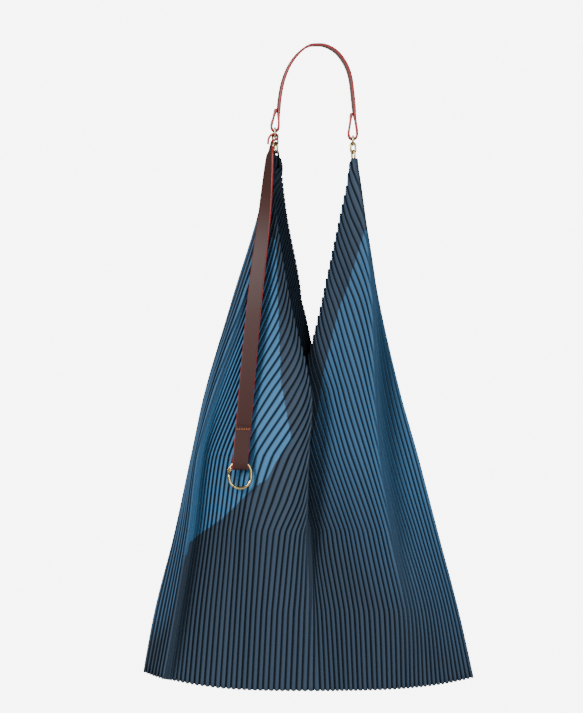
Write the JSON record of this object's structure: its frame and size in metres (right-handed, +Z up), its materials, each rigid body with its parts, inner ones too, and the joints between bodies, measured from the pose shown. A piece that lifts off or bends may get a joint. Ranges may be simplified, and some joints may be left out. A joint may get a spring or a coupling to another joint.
{
  "type": "pleated bag",
  "caption": "Tall pleated cloth bag with two pointed lobes, a leather handle on short chains and a hanging leather strap with a gate ring.",
  "frame": {"origin": "under the top of the leather handle, where the bag is held", "axes": "+Z up, -Y out of the front of the bag, +X to the right as seen from the front"},
  "size_m": [0.3627, 0.0663, 0.7116],
  "materials": {
    "cloth": "satin",
    "leather": "satin",
    "gold": "polished"
  },
  "bodies": {
    "bag": {"front_panel": "cloth", "back_panel": "cloth", "handle_strap": "leather", "long_strap": "leather", "left_peak_tab": "leather", "right_peak_tab": "leather", "left_strap_ring": "gold", "right_strap_ring": "gold", "left_chain_link_1": "gold", "left_chain_link_2": "gold", "right_chain_link_1": "gold", "right_chain_link_2": "gold", "ring_body": "gold"},
    "gate": {"ring_gate": "gold"}
  },
  "joints": [
    {"name": "gate_hinge", "type": "hinge", "parent": "bag", "child": "gate", "pos_m": [-0.09474, -0.0289, -0.46551], "axis": [0, -1, 0], "range_deg": [0, 25], "stiffness_Nm_per_rad": 0.01}
  ]
}
